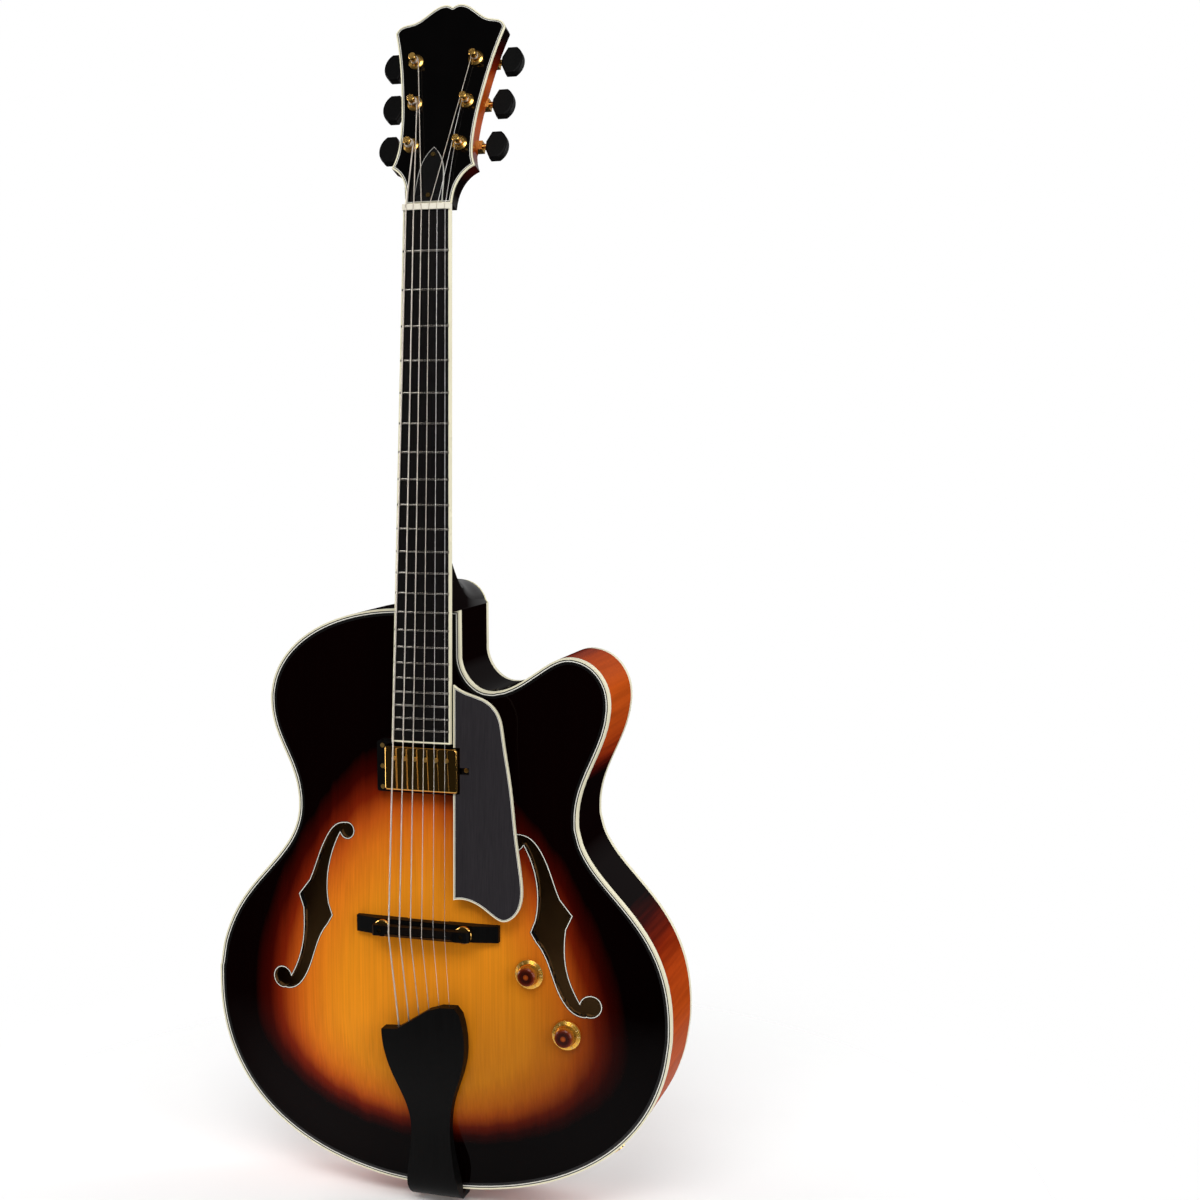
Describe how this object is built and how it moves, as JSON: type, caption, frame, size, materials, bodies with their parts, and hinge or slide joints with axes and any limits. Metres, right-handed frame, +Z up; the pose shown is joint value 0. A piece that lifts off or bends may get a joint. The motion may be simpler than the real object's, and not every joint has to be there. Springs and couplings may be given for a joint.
{
  "type": "archtop guitar",
  "caption": "Hollow single-cutaway archtop guitar with an arched top, bound sound holes, floating bridge and tailpiece, raised guard, covered pickup, knobs and an angled headstock.",
  "frame": {"origin": "centre of the end pin's outer face, the lowest point of the guitar when it stands upright", "axes": "+Z up the centre line towards the headstock, the front with the strings faces -Y, the treble side with the cutaway is +X"},
  "size_m": [0.444, 0.1363, 1.0946],
  "materials": {
    "top_wood": "gloss lacquer, spruce with a burst from amber to black",
    "maple": "gloss lacquer, flamed maple",
    "ebony": "satin",
    "black_lacquer": "gloss",
    "inner_wood": "raw",
    "cream_plastic": "gloss, layered with thin black lines",
    "black_plastic": "satin",
    "amber_plastic": "clear gloss",
    "bone": "polished",
    "gold": "gold plated",
    "fret_metal": "polished",
    "steel": "plain",
    "wound_wire": "wound wire",
    "coil_plastic": "matt"
  },
  "bodies": {
    "guitar": {"top_plate": "top_wood", "back_plate": "maple", "bass_rib": "maple", "treble_rib": "maple", "horn_rib": "maple", "cutaway_rib": "maple", "end_blocks": "inner_wood", "linings_and_bars": "inner_wood", "body_bindings": "cream_plastic", "neck": "maple", "heel_cap": "cream_plastic", "truss_rod": "steel", "truss_rod_cover": "black_plastic", "headstock_overlay": "black_lacquer", "neck_bindings": "cream_plastic", "fingerboard": "ebony", "frets": "fret_metal", "nut": "bone", "bridge_base": "ebony", "bridge_posts": "gold", "tailpiece": "ebony", "tail_hanger": "gold", "end_pin": "gold", "pickguard": "ebony", "pickguard_binding": "cream_plastic", "pickguard_support": "ebony", "pickup_ring": "black_plastic", "wood_screws": "gold", "potentiometers": "steel", "output_jack": "gold", "tuner_housings": "gold", "tuner_bushings": "gold", "wound_strings": "wound_wire", "plain_strings": "steel"},
    "bridge_saddle": {"bridge_saddle": "ebony"},
    "thumbwheel_bass": {"thumbwheel_bass": "gold"},
    "thumbwheel_treble": {"thumbwheel_treble": "gold"},
    "pickup": {"pickup_cover": "gold", "pickup_coils": "coil_plastic", "pole_screws": "gold"},
    "volume_knob": {"volume_knob": "amber_plastic"},
    "tone_knob": {"tone_knob": "amber_plastic"},
    "key_1": {"tuner_button_1": "ebony", "worm_shaft_1": "gold"},
    "post_1": {"string_post_1": "gold"},
    "key_2": {"tuner_button_2": "ebony", "worm_shaft_2": "gold"},
    "post_2": {"string_post_2": "gold"},
    "key_3": {"tuner_button_3": "ebony", "worm_shaft_3": "gold"},
    "post_3": {"string_post_3": "gold"},
    "key_4": {"tuner_button_4": "ebony", "worm_shaft_4": "gold"},
    "post_4": {"string_post_4": "gold"},
    "key_5": {"tuner_button_5": "ebony", "worm_shaft_5": "gold"},
    "post_5": {"string_post_5": "gold"},
    "key_6": {"tuner_button_6": "ebony", "worm_shaft_6": "gold"},
    "post_6": {"string_post_6": "gold"}
  },
  "joints": [
    {"name": "saddle_slide", "type": "slide", "parent": "guitar", "child": "bridge_saddle", "axis": [0, 1, 0], "range_m": [0, 0.0025]},
    {"name": "thumbwheel_bass_turn", "type": "hinge", "parent": "bridge_saddle", "child": "thumbwheel_bass", "pos_m": [-0.039, -0.067, 0.26708], "axis": [0, 1, 0], "range_deg": [0, 1285]},
    {"name": "thumbwheel_treble_turn", "type": "hinge", "parent": "bridge_saddle", "child": "thumbwheel_treble", "pos_m": [0.039, -0.067, 0.26708], "axis": [0, 1, 0], "range_deg": [0, 1285]},
    {"name": "pickup_height", "type": "slide", "parent": "guitar", "child": "pickup", "axis": [0, -1, 0], "range_m": [-0.0015, 0.0015]},
    {"name": "volume_turn", "type": "hinge", "parent": "guitar", "child": "volume_knob", "pos_m": [0.0963, -0.05314, 0.23278], "axis": [0, 1, 0], "range_deg": [0, 300]},
    {"name": "tone_turn", "type": "hinge", "parent": "guitar", "child": "tone_knob", "pos_m": [0.1299, -0.05006, 0.17928], "axis": [0, 1, 0], "range_deg": [0, 300]},
    {"name": "key_1_turn", "type": "hinge", "parent": "guitar", "child": "key_1", "pos_m": [-0.023, 0.00356, 0.96323], "axis": [-1, 0, 0], "continuous": true},
    {"name": "post_1_turn", "type": "hinge", "parent": "guitar", "child": "post_1", "pos_m": [-0.023, -0.01553, 0.96417], "axis": [0, -0.9422, 0.335], "continuous": true},
    {"name": "key_2_turn", "type": "hinge", "parent": "guitar", "child": "key_2", "pos_m": [-0.0246, 0.01732, 1.00195], "axis": [-1, 0, 0], "continuous": true},
    {"name": "post_2_turn", "type": "hinge", "parent": "guitar", "child": "post_2", "pos_m": [-0.0246, -0.00176, 1.0029], "axis": [0, -0.9422, 0.335], "continuous": true},
    {"name": "key_3_turn", "type": "hinge", "parent": "guitar", "child": "key_3", "pos_m": [-0.0286, 0.03119, 1.04096], "axis": [-1, 0, 0], "continuous": true},
    {"name": "post_3_turn", "type": "hinge", "parent": "guitar", "child": "post_3", "pos_m": [-0.0286, 0.0121, 1.04191], "axis": [0, -0.9422, 0.335], "continuous": true},
    {"name": "key_4_turn", "type": "hinge", "parent": "guitar", "child": "key_4", "pos_m": [0.0286, 0.03119, 1.04096], "axis": [1, 0, 0], "continuous": true},
    {"name": "post_4_turn", "type": "hinge", "parent": "guitar", "child": "post_4", "pos_m": [0.0286, 0.0121, 1.04191], "axis": [0, -0.9422, 0.335], "continuous": true},
    {"name": "key_5_turn", "type": "hinge", "parent": "guitar", "child": "key_5", "pos_m": [0.0246, 0.01732, 1.00195], "axis": [1, 0, 0], "continuous": true},
    {"name": "post_5_turn", "type": "hinge", "parent": "guitar", "child": "post_5", "pos_m": [0.0246, -0.00176, 1.0029], "axis": [0, -0.9422, 0.335], "continuous": true},
    {"name": "key_6_turn", "type": "hinge", "parent": "guitar", "child": "key_6", "pos_m": [0.023, 0.00356, 0.96323], "axis": [1, 0, 0], "continuous": true},
    {"name": "post_6_turn", "type": "hinge", "parent": "guitar", "child": "post_6", "pos_m": [0.023, -0.01553, 0.96417], "axis": [0, -0.9422, 0.335], "continuous": true}
  ],
  "couplings": [
    {"joint": "saddle_slide", "follows": "thumbwheel_bass_turn", "m_per_rad": 0.00011141},
    {"joint": "thumbwheel_treble_turn", "follows": "thumbwheel_bass_turn", "ratio": 1},
    {"joint": "post_1_turn", "follows": "key_1_turn", "ratio": 0.0625},
    {"joint": "post_2_turn", "follows": "key_2_turn", "ratio": 0.0625},
    {"joint": "post_3_turn", "follows": "key_3_turn", "ratio": 0.0625},
    {"joint": "post_4_turn", "follows": "key_4_turn", "ratio": -0.0625},
    {"joint": "post_5_turn", "follows": "key_5_turn", "ratio": -0.0625},
    {"joint": "post_6_turn", "follows": "key_6_turn", "ratio": -0.0625}
  ]
}
